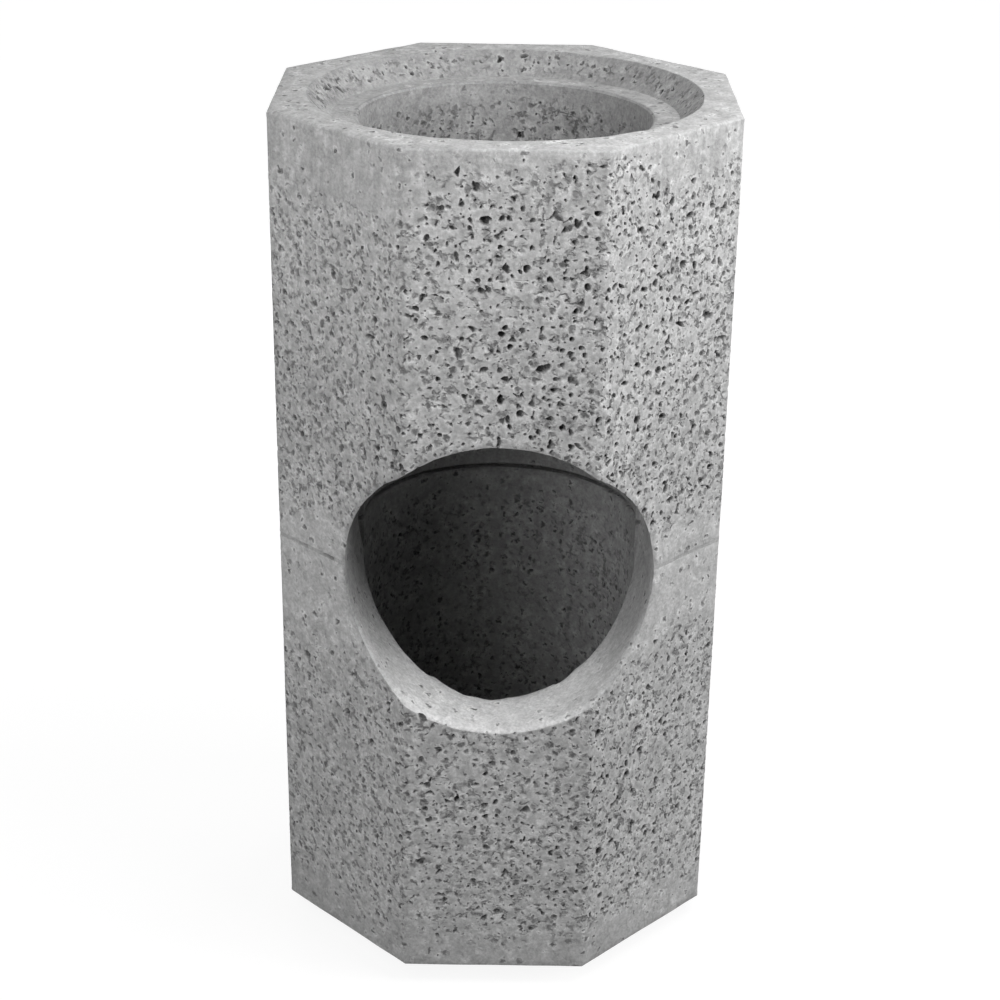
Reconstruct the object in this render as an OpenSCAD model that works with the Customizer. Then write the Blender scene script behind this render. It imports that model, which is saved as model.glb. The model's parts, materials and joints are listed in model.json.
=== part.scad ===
// Octagonal flue liner tee: two moulded lightweight-concrete liner blocks, one bedded on the
// other, with a round side inlet cut through both walls at the joint between them.
// Origin: on the flue axis, at the foot of the lower spigot. The inlet faces -Y.

/* [Liner block] */
// Diameter of the flue
flue_d = 200; // [150:1:260]
// Thickness of the wall at the middle of a flat
wall_t = 55; // [48:1:90]
// Height of one block from shoulder to rim
block_h = 300; // [220:1:500]
// Chamfer on the outer arrises of the rim and the shoulder
arris = 2; // [0.5:0.5:4]

/* [Rebated joint] */
// Depth of the rebate below the rim, and length of the spigot that enters it
rebate_depth = 16; // [8:1:30]
// Width of the flat rim at the middle of a flat
rim_w = 21; // [10:0.5:26]
// Horizontal run of the conical seat, from rim to ledge
seat_run = 15.5; // [4:0.5:18]
// Radial clearance of the spigot inside the seat
spigot_clearance = 1; // [0.5:0.5:3]

/* [Mortar bed] */
// Thickness of the bed between the two blocks
bed_t = 3; // [1:0.5:6]
// How far the bed is raked back from the outer faces
bed_rake = 1; // [0.5:0.5:8]

/* [Side inlet] */
// Diameter of the side inlet
inlet_d = 210; // [120:1:230]

/* [Open texture] */
// Spacing of the larger voids in the outer faces
void_pitch = 36; // [28:1:60]
// Mean radius of a larger void
void_r = 2.2; // [1.2:0.2:3.6]
// Depth of a larger void
void_depth = 2; // [1:0.5:4]
// Height of the closed bands at the head and foot of a block, which have no larger voids
closed_band = 30; // [20:1:60]

/* [Hidden] */
$fn = 128;
concrete_grey = [0.62, 0.62, 0.61];
mortar_grey = [0.55, 0.55, 0.54];
face_pairs = 4;
face_turn = 180 / face_pairs;
overshoot = 1;
void_sides = 6;
// Shares of the mean that a void's radius varies by, and of the spacing that it strays by
void_vary = 0.25;
void_stray = 0.3;
// Steps of an even scatter, for the way across, the way up and the size
scatter_across = 0.7549;
scatter_up = 0.5698;
scatter_size = 0.3247;
// First number of each block's scatter
lower_scatter = 11;
upper_scatter = 503;

across_flats = flue_d + 2 * wall_t;
flue_r = flue_d / 2;
mouth_r = across_flats / 2 - rim_w;
ledge_r = mouth_r - seat_run;
seat_slope = seat_run / rebate_depth;
spigot_tip_r = ledge_r - spigot_clearance;
spigot_root_r = mouth_r - spigot_clearance;

// Heights of the lower block, the bed and the upper block
shoulder_z = rebate_depth;
rim_z = shoulder_z + block_h;
ledge_z = rim_z - rebate_depth;
upper_lift = block_h + bed_t;
inlet_z = rim_z + bed_t / 2;

// Rows and columns of the larger voids on one outer face
face_w = across_flats * tan(face_turn / 2);
open_h = block_h - 2 * closed_band;
void_columns = floor(face_w / void_pitch);
void_rows = floor(open_h / void_pitch);
largest_void_r = void_r * (1 + void_vary);

// Even scatter from -1 to 1 for the void of that number
function scatter(number, step) = 2 * (number * step - floor(number * step)) - 1;

// Whether a place on the wall lies clear of the inlet
function clear_of_inlet(place) =
    place.y > 0 || norm([place.x, place.z - inlet_z]) > inlet_d / 2 + 2 * largest_void_r;

// Section across one pair of flats: a rectangle with its four arrises cut off
module flats_section(width, height, chamfer) {
    half = width / 2;
    polygon([
        [-half + chamfer, 0], [half - chamfer, 0],
        [half, chamfer], [half, height - chamfer],
        [half - chamfer, height], [-half + chamfer, height],
        [-half, height - chamfer], [-half, chamfer]
    ]);
}

// Octagonal prism standing on z = 0, as the common part of four slabs
module octagon_block(width, height, chamfer) {
    intersection_for(pair = [0 : face_pairs - 1])
        rotate([90, 0, pair * face_turn])
            linear_extrude(2 * width, center = true)
                flats_section(width, height, chamfer);
}

// Conical tongue under the shoulder, which enters the rebate of the block below
module spigot() {
    cylinder(h = shoulder_z, r1 = spigot_tip_r, r2 = spigot_root_r);
}

// Conical seat and flat ledge, cut down from the rim
module rebate() {
    translate([0, 0, ledge_z])
        cylinder(h = rebate_depth + overshoot, r1 = ledge_r, r2 = mouth_r + seat_slope * overshoot);
}

// Round flue through one block, spigot included
module flue() {
    translate([0, 0, -overshoot]) cylinder(h = rim_z + 2 * overshoot, r = flue_r);
}

// One moulded liner, standing on its spigot
module liner() {
    difference() {
        union() {
            spigot();
            translate([0, 0, shoulder_z]) octagon_block(across_flats, block_h, arris);
        }
        flue();
        rebate();
    }
}

// Cutter for the inlet: from the flue axis out through the front faces
module side_inlet() {
    translate([0, 0, inlet_z])
        rotate([90, 0, 0])
            cylinder(h = across_flats, d = inlet_d);
}

// One larger void, sunk into the wall at a place on the face of that turn
module wall_void(turn, place, number) {
    translate(place)
        rotate([0, 90, turn])
            rotate(180 * scatter(number, scatter_up))
                translate([0, 0, -void_depth])
                    cylinder(
                        h = void_depth + overshoot,
                        r = void_r * (1 + void_vary * scatter(number, scatter_size)),
                        $fn = void_sides
                    );
}

// Larger voids of one block, scattered round its outer faces from a first number, at the block's lift
module wall_voids(first, lift) {
    for (face = [0 : 2 * face_pairs - 1], row = [0 : void_rows - 1], column = [0 : void_columns - 1]) {
        number = first + (face * void_rows + row) * void_columns + column;
        across = (column + 0.5) * face_w / void_columns - face_w / 2
            + void_stray * void_pitch * scatter(number, scatter_across);
        up = shoulder_z + closed_band + (row + 0.5) * open_h / void_rows
            + void_stray * void_pitch * scatter(number, scatter_up);
        turn = face * face_turn;
        out = across_flats / 2;
        place = [
            out * cos(turn) - across * sin(turn),
            out * sin(turn) + across * cos(turn),
            lift + up
        ];
        if (clear_of_inlet(place)) wall_void(turn, place, number);
    }
}

// Flat part of the bed, between the rim below and the shoulder above
module flat_bed() {
    difference() {
        translate([0, 0, rim_z])
            intersection_for(pair = [0 : face_pairs - 1])
                rotate(pair * face_turn)
                    translate([-across_flats / 2 + bed_rake, -across_flats, 0])
                        cube([across_flats - 2 * bed_rake, 2 * across_flats, bed_t]);
        translate([0, 0, rim_z - overshoot])
            cylinder(h = bed_t + 2 * overshoot, r = spigot_root_r);
    }
}

// Mortar on the conical seat, from the rim down to the ledge
module seat_bed() {
    rotate_extrude()
        polygon([
            [ledge_r, ledge_z], [mouth_r, rim_z], [mouth_r, rim_z + bed_t],
            [spigot_root_r, rim_z + bed_t], [spigot_tip_r, ledge_z + bed_t]
        ]);
}

module lower_liner() {
    color(concrete_grey) difference() {
        liner();
        side_inlet();
        wall_voids(lower_scatter, 0);
    }
}

module upper_liner() {
    color(concrete_grey) difference() {
        translate([0, 0, upper_lift]) liner();
        side_inlet();
        wall_voids(upper_scatter, upper_lift);
    }
}

module bed_mortar() {
    color(mortar_grey) difference() {
        union() {
            flat_bed();
            seat_bed();
        }
        translate([0, 0, bed_t]) flue();
        side_inlet();
    }
}

lower_liner();
upper_liner();
bed_mortar();
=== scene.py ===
"""Looks of an octagonal flue liner tee: two pitted lightweight-concrete blocks and their mortar bed.

Meshes are built in millimetres, in the row frame, and written out in metres.
"""

import json
import math

import bpy
import numpy as np
from mathutils import Matrix, Vector
from mathutils.geometry import delaunay_2d_cdt


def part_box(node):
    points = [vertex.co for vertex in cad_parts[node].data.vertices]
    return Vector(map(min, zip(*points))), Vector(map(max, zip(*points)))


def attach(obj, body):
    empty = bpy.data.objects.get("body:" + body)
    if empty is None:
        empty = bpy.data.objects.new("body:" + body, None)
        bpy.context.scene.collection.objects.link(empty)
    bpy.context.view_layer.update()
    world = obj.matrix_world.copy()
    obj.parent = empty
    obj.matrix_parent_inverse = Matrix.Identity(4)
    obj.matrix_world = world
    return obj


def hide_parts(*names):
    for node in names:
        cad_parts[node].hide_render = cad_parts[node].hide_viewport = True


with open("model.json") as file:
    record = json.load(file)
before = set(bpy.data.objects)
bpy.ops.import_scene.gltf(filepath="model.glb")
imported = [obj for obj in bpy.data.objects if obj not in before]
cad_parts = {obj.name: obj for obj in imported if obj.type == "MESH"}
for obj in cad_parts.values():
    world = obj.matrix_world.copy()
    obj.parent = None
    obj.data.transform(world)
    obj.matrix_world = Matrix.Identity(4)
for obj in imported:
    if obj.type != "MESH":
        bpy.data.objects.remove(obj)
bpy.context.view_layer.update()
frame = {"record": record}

MM = 0.001


# Sizes of the part, in millimetres

def mount(name):
    """The record's mount of that name."""
    return next(m for m in frame["record"]["mounts"] if m["name"] == name)


lower_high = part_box("lower_liner")[1] / MM
upper_low, upper_high = (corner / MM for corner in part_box("upper_liner"))

FLUE_R = mount("flue")["dims"]["r_mm"]
INLET_R = mount("side_inlet")["dims"]["r_mm"]
INLET_Z = mount("side_inlet")["pos_m"][2] / MM
HALF_FLATS = lower_high.x
SHOULDER_Z = mount("shoulder")["pos_m"][2] / MM
RIM_Z = lower_high.z
UPPER_LIFT = upper_low.z
BED_T = UPPER_LIFT + SHOULDER_Z - RIM_Z
RIM_W = 21.0
SEAT_RUN = 15.5
SPIGOT_CLEARANCE = 1.0
LEDGE_Z = RIM_Z - SHOULDER_Z
MOUTH_R = HALF_FLATS - RIM_W
LEDGE_R = MOUTH_R - SEAT_RUN
SPIGOT_TIP_R = LEDGE_R - SPIGOT_CLEARANCE
SPIGOT_ROOT_R = MOUTH_R - SPIGOT_CLEARANCE

FACES = 8
FACE_TURN = 2 * math.pi / FACES
SIDE = 2 * HALF_FLATS * math.tan(FACE_TURN / 2)
GIRTH = FACES * SIDE
# The wall is unrolled from the arris before the back left face
BACK_LEFT, LEFT, FRONT_LEFT, FRONT, FRONT_RIGHT, RIGHT, BACK_RIGHT, BACK = range(FACES)
FIRST_FACE_ANGLE = math.radians(135)
FLUE_SEAM_ANGLE = math.radians(90)


# Noise and small helpers

def lattice(ix, iy, seed):
    """Repeatable random values from 0 to 1 at whole-number places."""
    mixed = (ix * 73856093) ^ (iy * 19349663) ^ (seed * 83492791)
    mixed = (mixed ^ (mixed >> 13)) * 1274126177
    return ((mixed ^ (mixed >> 16)) & 0xFFFF) / 0xFFFF


def noise(x, y, cell, seed):
    """Smooth noise from -1 to 1, with features about cell millimetres across."""
    u, v = np.broadcast_arrays(np.asarray(x) / cell, np.asarray(y) / cell)
    iu = np.floor(u).astype(np.int64)
    iv = np.floor(v).astype(np.int64)
    fu = smoothstep(0, 1, u - iu)
    fv = smoothstep(0, 1, v - iv)
    low = lattice(iu, iv, seed) * (1 - fu) + lattice(iu + 1, iv, seed) * fu
    high = lattice(iu, iv + 1, seed) * (1 - fu) + lattice(iu + 1, iv + 1, seed) * fu
    return 2 * (low * (1 - fv) + high * fv) - 1


def smoothstep(start, end, x):
    """0 before start, 1 after end, and a smooth rise between."""
    t = np.clip((x - start) / (end - start), 0, 1)
    return t * t * (3 - 2 * t)


# Places on the block's surfaces

def octagon_xyz(s, z, inset):
    """Points on the octagonal wall at s along its girth, moved in by inset."""
    s = np.asarray(s, float)
    face = np.clip(np.floor(s / SIDE), 0, FACES - 1)
    across = s - (face + 0.5) * SIDE
    angle = FIRST_FACE_ANGLE + face * FACE_TURN
    apothem = HALF_FLATS - inset
    along = across * apothem / HALF_FLATS
    x = np.cos(angle) * apothem - np.sin(angle) * along
    y = np.sin(angle) * apothem + np.cos(angle) * along
    return np.stack(np.broadcast_arrays(x, y, z), -1)


def wall_xyz(uv, sunk):
    return octagon_xyz(uv[:, 0], uv[:, 1], sunk)


def circle_xyz(angle, radius, z):
    return np.stack(np.broadcast_arrays(radius * np.cos(angle), radius * np.sin(angle), z), -1)


def flue_xyz(uv, sunk):
    return circle_xyz(FLUE_SEAM_ANGLE + uv[:, 0] / FLUE_R, FLUE_R + sunk, uv[:, 1])


def cone_xyz(foot, head, side):
    """Mapping for a cone between two (radius, z) rings, sunk to the side that its solid is on."""
    mean_r = (foot[0] + head[0]) / 2
    slant = math.dist(foot, head)
    run = (head[0] - foot[0]) / slant
    rise = (head[1] - foot[1]) / slant

    def xyz(uv, sunk):
        radius = foot[0] + run * uv[:, 1] + side * rise * sunk
        z = foot[1] + rise * uv[:, 1] - side * run * sunk
        return circle_xyz(FLUE_SEAM_ANGLE + uv[:, 0] / mean_r, radius, z)

    return xyz, mean_r, slant


def level_xyz(level, down):
    """Mapping for a flat ring at one height, sunk down or up into its solid."""
    def xyz(uv, sunk):
        return np.stack([uv[:, 0], uv[:, 1], level - down * sunk], -1)

    return xyz


def full_turn(count):
    """Angles that share a full turn evenly."""
    return np.arange(count) * 2 * math.pi / count


def girth_points(step):
    """Places along the girth about a step apart, one of them on each arris."""
    steps = round(SIDE / step)
    return (np.arange(FACES)[:, None] * SIDE + np.arange(steps) * SIDE / steps).ravel()


def uv_points(u, v):
    """Points from two rows of values, or from a row and one value."""
    return np.stack(np.broadcast_arrays(u, v), -1)


def inside(points, box, margin=0.0):
    """Whether points lie in a box, with a margin left to its edges."""
    return ((points > np.add(box[0], margin)) & (points < np.subtract(box[1], margin))).all(1)


# Pits

PIT_FLOOR = 0.62
PIT_FLOOR_DEPTH = 0.8
# Depths over which a pit's painted shade grows from none to full, and below which an outline point gets a
# painted highlight
PIT_LIGHT_DEPTH = 0.25
PIT_DARK_DEPTH = 1.7
EDGE_DEPTH = 0.05
GRAIN_JITTER = 0.85
# How widely pits differ, those strewn on a grid and those between grains
STREWN = {"size": 0.33, "stretch": 0.24, "depth": 0.25}
BETWEEN = {"size": 0.3, "stretch": 0.26, "depth": 0.35}
STREWN_LOBE = 0.32
LEAST_LOBE, LOBE_RANGE = 0.02, 0.15
USUAL_ROOM, ROOM_LIMITS = 0.72, (0.6, 1.5)
LEAST_SEAM = 0.9
SLIT_SPREAD = 0.25
SLIT_LIMITS = (1.0, 4.5)
HULL = 0
INSIDE_LOOPS = 1
CDT_EPSILON = 1e-5


class Pits:
    """Irregular hollows on one unrolled patch: lobed ovals, each with its own depth."""

    def __init__(self, u, v, radius, stretch, turn, lobe, phase, depth):
        self.parts = [np.asarray(a, float) for a in (u, v, radius, stretch, turn, lobe, phase, depth)]
        self.u, self.v, self.radius, self.stretch, self.turn, self.lobe, self.phase, self.depth = self.parts
        self.reach = self.radius * self.stretch * (1 + self.lobe)

    def chosen(self, which):
        return Pits(*(a[which] for a in self.parts))

    def joined(self, other):
        return Pits(*(np.concatenate(pair) for pair in zip(self.parts, other.parts)))

    def kept_in(self, box, margin):
        """The pits that lie whole in a box, with a margin left to its edges."""
        room = self.reach[:, None]
        middles = uv_points(self.u, self.v)
        low, high = np.add(box[0], margin), np.subtract(box[1], margin)
        return self.chosen(((middles - room > low) & (middles + room < high)).all(1))

    def ring(self, share, count):
        """Points round each pit at a share of the way out to its edge."""
        angle = full_turn(count)
        out = share * (1 + self.lobe[:, None] * np.cos(3 * angle + self.phase[:, None]))
        along = out * np.cos(angle) * (self.radius * self.stretch)[:, None]
        aside = out * np.sin(angle) * (self.radius / self.stretch)[:, None]
        cos, sin = np.cos(self.turn)[:, None], np.sin(self.turn)[:, None]
        u = self.u[:, None] + along * cos - aside * sin
        v = self.v[:, None] + along * sin + aside * cos
        return uv_points(u, v)

    def sink(self, uv):
        """How far each point lies below the surface."""
        depth = np.zeros(len(uv))
        order = np.argsort(uv[:, 0])
        ordered_u = uv[order, 0]
        first = np.searchsorted(ordered_u, self.u - self.reach)
        last = np.searchsorted(ordered_u, self.u + self.reach)
        for i in range(len(self.u)):
            near = order[first[i]:last[i]]
            du, dv = uv[near, 0] - self.u[i], uv[near, 1] - self.v[i]
            cos, sin = math.cos(self.turn[i]), math.sin(self.turn[i])
            along = (du * cos + dv * sin) / (self.radius[i] * self.stretch[i])
            aside = (dv * cos - du * sin) / (self.radius[i] / self.stretch[i])
            edge = 1 + self.lobe[i] * np.cos(3 * np.arctan2(aside, along) + self.phase[i])
            profile = np.interp(np.hypot(along, aside) / edge, (0, PIT_FLOOR, 1), (1, PIT_FLOOR_DEPTH, 0))
            depth[near] = np.maximum(depth[near], self.depth[i] * profile)
        return depth


# Points on the edge and on the floor of a pit, by its narrower half width
PIT_SIZES = ((0.0, 1.1, 6, 0), (1.1, 1.7, 7, 0), (1.7, 99.0, 9, 5))


def pit_points(pits):
    """Points that draw the pits, and the edges of their outlines."""
    points, edges = [], []
    total = 0
    for smallest, largest, edge_count, floor_count in PIT_SIZES:
        narrow = pits.radius / pits.stretch
        group = pits.chosen((narrow >= smallest) & (narrow < largest))
        starts = total + np.arange(len(group.u)) * edge_count
        turn = np.arange(edge_count)
        pairs = np.stack([starts[:, None] + turn, starts[:, None] + (turn + 1) % edge_count], -1)
        edges.append(pairs.reshape(-1, 2))
        rings = [group.ring(1, edge_count).reshape(-1, 2)]
        if floor_count:
            rings.append(group.ring(PIT_FLOOR, floor_count).reshape(-1, 2))
        rings.append(uv_points(group.u, group.v))
        points += rings
        total += sum(len(r) for r in rings)
    return np.concatenate(points), np.concatenate(edges)


def varied(rng, count, spread):
    """Factors about 1 that differ by about the spread."""
    return np.exp(spread * rng.standard_normal(count))


def stretched(rng, count, spread):
    return np.exp(np.abs(spread * rng.standard_normal(count)))


def by_openness(open_here, ends):
    """A value between that of a closed and that of an open texture."""
    return np.interp(open_here, (0, 1), ends)


def scatter(rng, box, spacing, openness, chance, size, depth):
    """Pits on a jittered grid: how many, how wide and how deep follows the openness of the texture."""
    (u0, v0), (u1, v1) = box
    columns = max(1, round((u1 - u0) / spacing))
    rows = max(1, round((v1 - v0) / spacing))
    count = columns * rows
    jitter = rng.random((2, count)) * 0.9 + 0.05
    u = u0 + (np.tile(np.arange(columns), rows) + jitter[0]) * (u1 - u0) / columns
    v = v0 + (np.repeat(np.arange(rows), columns) + jitter[1]) * (v1 - v0) / rows
    open_here = openness(u, v)
    radius = by_openness(open_here, size) * varied(rng, count, STREWN["size"])
    stretch = stretched(rng, count, STREWN["stretch"])
    turn = rng.random(count) * math.pi
    lobe = rng.random(count) * STREWN_LOBE
    phase = rng.random(count) * 2 * math.pi
    deep = by_openness(open_here, depth) * radius * varied(rng, count, STREWN["depth"])
    pits = Pits(u, v, radius, stretch, turn, lobe, phase, deep)
    return pits.chosen(rng.random(count) < by_openness(open_here, chance))


def grain_gaps(rng, box, spacing):
    """Grains of aggregate in a surface, and where they meet: corners of three and seams of two.

    Gives the grains' middles, the corners with the room there, and the middle, half length and turn
    of each seam.
    """
    (u0, v0), (u1, v1) = box
    margin = 2 * spacing
    columns = math.ceil((u1 - u0 + 2 * margin) / spacing)
    rows = math.ceil((v1 - v0 + 2 * margin) / spacing)
    seeds = np.stack(np.meshgrid(np.arange(columns), np.arange(rows)), -1).reshape(-1, 2)
    seeds = (seeds + rng.random(seeds.shape) * GRAIN_JITTER) * spacing + (u0 - margin, v0 - margin)
    middles, _, faces, *_ = delaunay_2d_cdt([Vector(p) for p in seeds], [], [], HULL, CDT_EPSILON)
    grains = np.array([tuple(m) for m in middles])
    faces = np.array(faces)
    a, b, c = (grains[faces[:, i]] for i in range(3))
    ab, ac = b - a, c - a
    twice = 2 * (ab[:, 0] * ac[:, 1] - ab[:, 1] * ac[:, 0])
    ab2, ac2 = (ab ** 2).sum(1), (ac ** 2).sum(1)
    shift = np.stack([ac[:, 1] * ab2 - ab[:, 1] * ac2, ab[:, 0] * ac2 - ac[:, 0] * ab2], -1) / twice[:, None]
    corners, room = a + shift, np.hypot(*shift.T)
    sides = np.sort(np.concatenate([faces[:, [0, 1]], faces[:, [1, 2]], faces[:, [2, 0]]]), axis=1)
    owner = np.tile(np.arange(len(faces)), 3)
    key = sides[:, 0] * len(grains) + sides[:, 1]
    order = np.argsort(key, kind="stable")
    shared = key[order][:-1] == key[order][1:]
    one, other = corners[owner[order][:-1][shared]], corners[owner[order][1:][shared]]
    span = other - one
    return grains, corners, room, (one + other) / 2, np.hypot(*span.T) / 2, np.arctan2(span[:, 1], span[:, 0])


def grain_pits(rng, box, spacing, openness, look):
    """Pits at the corners between grains and slits along their seams, and the grains' middles."""
    grains, corners, room, seams, half, turn = grain_gaps(rng, box, spacing)
    usable = inside(corners, box)
    corners, room = corners[usable], room[usable]
    count = len(corners)
    open_here = openness(*corners.T)
    radius = by_openness(open_here, look["size"]) * varied(rng, count, BETWEEN["size"])
    radius = radius * np.clip(room / (USUAL_ROOM * spacing), *ROOM_LIMITS)
    depth = by_openness(open_here, look["depth"]) * radius * varied(rng, count, BETWEEN["depth"])
    stretch = stretched(rng, count, BETWEEN["stretch"])
    pit_turn = rng.random(count) * math.pi
    lobe = LEAST_LOBE + LOBE_RANGE * rng.random(count)
    pits = Pits(*corners.T, radius, stretch, pit_turn, lobe, rng.random(count) * 2 * math.pi, depth)
    pits = pits.chosen(rng.random(count) < by_openness(open_here, look["chance"]))

    usable = inside(seams, box) & (half > LEAST_SEAM)
    seams, half, turn = seams[usable], half[usable], turn[usable]
    count = len(seams)
    open_here = openness(*seams.T)
    wide = by_openness(open_here, look["slit_width"]) * varied(rng, count, SLIT_SPREAD)
    long = np.clip(half * (0.55 + 0.5 * rng.random(count)), *SLIT_LIMITS)
    depth = wide * (0.9 + 0.9 * rng.random(count))
    no_lobe = np.zeros(count)
    slits = Pits(*seams.T, np.sqrt(wide * long), np.sqrt(long / wide), turn, no_lobe, no_lobe, depth)
    slits = slits.chosen(rng.random(count) < by_openness(open_here, look["slit_chance"]))
    return pits.joined(slits), grains[inside(grains, box)]


# The skin of one block

def within_ring(points, ring):
    """Whether points lie inside a ring that starts at the flue's seam and is evenly spaced in angle."""
    step = 2 * math.pi / len(ring)
    after_seam = (np.arctan2(points[:, 1], points[:, 0]) - FLUE_SEAM_ANGLE) % (2 * math.pi)
    start = np.floor(after_seam / step).astype(int) % len(ring)
    one, other = ring[start], ring[(start + 1) % len(ring)]
    along, to_point = other - one, points - one
    return along[:, 0] * to_point[:, 1] - along[:, 1] * to_point[:, 0] > 0


class Skin:
    """Points and triangles of one closed block, with how pitted, open and near a pit's edge each point is."""

    def __init__(self):
        self.xyz = np.zeros((0, 3))
        self.marks = {"pit": np.zeros(0), "open": np.zeros(0), "edge": np.zeros(0)}
        self.triangles = []

    def add(self, xyz, **marks):
        first = len(self.xyz)
        self.xyz = np.concatenate([self.xyz, xyz])
        for label, values in self.marks.items():
            fresh = np.broadcast_to(marks.get(label, 0.0), len(xyz))
            self.marks[label] = np.concatenate([values, fresh])
        return np.arange(first, first + len(xyz))

    def band(self, below, above):
        """Joins two rings of as many points, seen from outside with the first one below."""
        after_below, after_above = np.roll(below, -1), np.roll(above, -1)
        self.triangles.append(np.stack([below, after_below, after_above], -1))
        self.triangles.append(np.stack([below, after_above, above], -1))

    def patch(self, loops, xyz, pits, spare, openness, wave, outward, hollow=None, dome=0.0):
        """Fills the space inside its loops of (uv, ids) with pits and spare points."""
        loop_uv = np.concatenate([uv for uv, _ in loops])
        loop_ids = np.concatenate([ids for _, ids in loops])
        edges = []
        start = 0
        for uv, _ in loops:
            ring = start + np.arange(len(uv))
            edges.append(np.stack([ring, np.roll(ring, -1)], -1))
            start += len(uv)
        pit_uv, pit_edges = pit_points(pits)
        edges.append(pit_edges + start)
        spare = spare[pits.sink(spare) == 0]
        points = np.concatenate([loop_uv, pit_uv, spare])
        corners, _, faces, origins, _, _ = delaunay_2d_cdt(
            [Vector(p) for p in points], np.concatenate(edges).tolist(), [], INSIDE_LOOPS, CDT_EPSILON)
        uv = np.array([tuple(c) for c in corners])
        ids = np.array([loop_ids[min(o)] if o and min(o) < start else -1 for o in origins])
        fresh = ids < 0
        sunk = pits.sink(uv[fresh])
        open_here = openness(uv[fresh, 0], uv[fresh, 1])
        grain = np.array([bool(o) and min(o) >= start + len(pit_uv) for o in origins])[fresh]
        # The pit mark sets the painted shade in pits, and the edge mark a painted highlight round their
        # outlines
        ids[fresh] = self.add(
            xyz(uv[fresh], sunk + wave(uv[fresh, 0], uv[fresh, 1]) - dome * grain * open_here),
            pit=smoothstep(PIT_LIGHT_DEPTH, PIT_DARK_DEPTH, sunk), open=open_here,
            edge=~grain & (sunk < EDGE_DEPTH))
        faces = np.array(faces)
        if hollow is not None:
            faces = faces[~within_ring(uv[faces].mean(1), hollow)]
        faces = ids[faces]
        self.triangles.append(faces if outward else faces[:, ::-1])


def grid_points(rng, box, spacing):
    """Loosely even points that carry the waviness between the pits."""
    (u0, v0), (u1, v1) = box
    u, v = np.meshgrid(np.arange(u0 + spacing, u1 - spacing / 2, spacing),
                       np.arange(v0 + spacing, v1 - spacing / 2, spacing))
    points = uv_points(u.ravel(), v.ravel())
    return points + (rng.random(points.shape) - 0.5) * spacing * 0.7


def unrolled_loop(foot, foot_ids, head, head_ids, seam, seam_ids, width):
    """Outline of a surface cut open along a seam: foot, right edge, head, left edge."""
    uv = np.concatenate([
        foot, [(width, foot[0][1])], uv_points(width, seam),
        [(width, head[0][1])], head[::-1], uv_points(0.0, seam)[::-1]])
    ids = np.concatenate([foot_ids, foot_ids[:1], seam_ids, head_ids[:1], head_ids[::-1], seam_ids[::-1]])
    return uv, ids


def ring_uv(count, width, v):
    return uv_points(np.arange(count) * width / count, v)


# How open the texture of each block is, face by face from the back left round by the front

FACE_MIDDLES = (np.arange(-1, FACES + 1) + 0.5) * SIDE


def by_face(values, s):
    """A value for each face, blended smoothly round the block."""
    return np.interp(s, FACE_MIDDLES, [values[-1], *values, values[0]])


BLOCKS = {
    "lower_liner": {
        "seed": 41, "lift": 0.0,
        "openness": (0.7, 0.75, 0.62, 0.9, 0.86, 0.8, 0.7, 0.75),
        "smooth_head": (60, 55, 84, 90, 78, 60, 50, 60),
        "smooth_foot": (34, 30, 34, 30, 32, 32, 36, 32),
        "arris_foot": 1.6, "arris_head": 0.1, "grain": 6.6, "first_void": 11,
        "look": {"size": (0.85, 1.3), "depth": (0.7, 1.2), "chance": (0.08, 0.7),
                 "slit_width": (0.35, 0.6), "slit_chance": (0.01, 0.1)},
        "voids": (
            (FRONT, -46, 172, 1.9, 1.3, 60, 2.6), (FRONT, 52, 150, 1.9, 1.4, 20, 2.6),
            (FRONT_RIGHT, -30, 120, 1.8, 1.4, 80, 2.4), (FRONT_LEFT, 10, 90, 1.8, 1.3, 45, 2.2),
            (BACK_LEFT, 0, 160, 2.2, 1.3, 30, 3.0), (BACK, 20, 120, 2.2, 1.4, 70, 3.0)),
        "seat_breaks": (),
    },
    "upper_liner": {
        "seed": 87, "lift": UPPER_LIFT,
        "openness": (0.8, 0.8, 0.66, 1.0, 0.95, 0.9, 0.85, 0.9),
        "smooth_head": (45, 50, 66, 22, 28, 30, 40, 36),
        "smooth_foot": (22, 26, 26, 16, 30, 24, 24, 20),
        "arris_foot": 0.1, "arris_head": 1.6, "grain": 6.6, "first_void": 503,
        "look": {"size": (0.8, 1.38), "depth": (0.8, 1.35), "chance": (0.08, 0.66),
                 "slit_width": (0.4, 0.7), "slit_chance": (0.01, 0.1)},
        "voids": (
            (FRONT, -29, 604.7, 2.5, 1.4, 70, 4.0), (FRONT, -24, 602.2, 1.5, 1.7, 15, 2.2),
            (FRONT, 11.6, 612, 1.5, 1.5, 80, 2.4), (FRONT, 37.7, 569, 2.3, 1.5, 55, 3.4),
            (FRONT, 48.1, 573.6, 2.1, 1.6, 75, 3.2), (FRONT, 1, 544, 2.3, 1.3, 80, 3.8),
            (FRONT, 10.4, 541.5, 2.2, 1.4, -20, 3.6), (FRONT_RIGHT, 64.2, 496, 2.6, 2.2, 90, 2.6),
            (BACK_LEFT, -20, 520, 2.6, 1.3, 40, 3.6), (BACK_RIGHT, 10, 560, 2.4, 1.5, 70, 3.4),
            (BACK, -30, 480, 2.5, 1.4, 20, 3.6)),
        "seat_breaks": (
            (171, 5.5, 3.0, 1.6, 80, 2.4), (166, 13, 3.4, 1.5, 10, 2.0), (159, 8, 3.2, 1.4, 60, 2.6),
            (155, 15, 2.6, 1.6, 0, 1.8), (163, 17.5, 2.0, 1.7, 5, 1.6), (177, 9, 2.2, 1.3, 40, 1.6)),
    },
}

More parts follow.
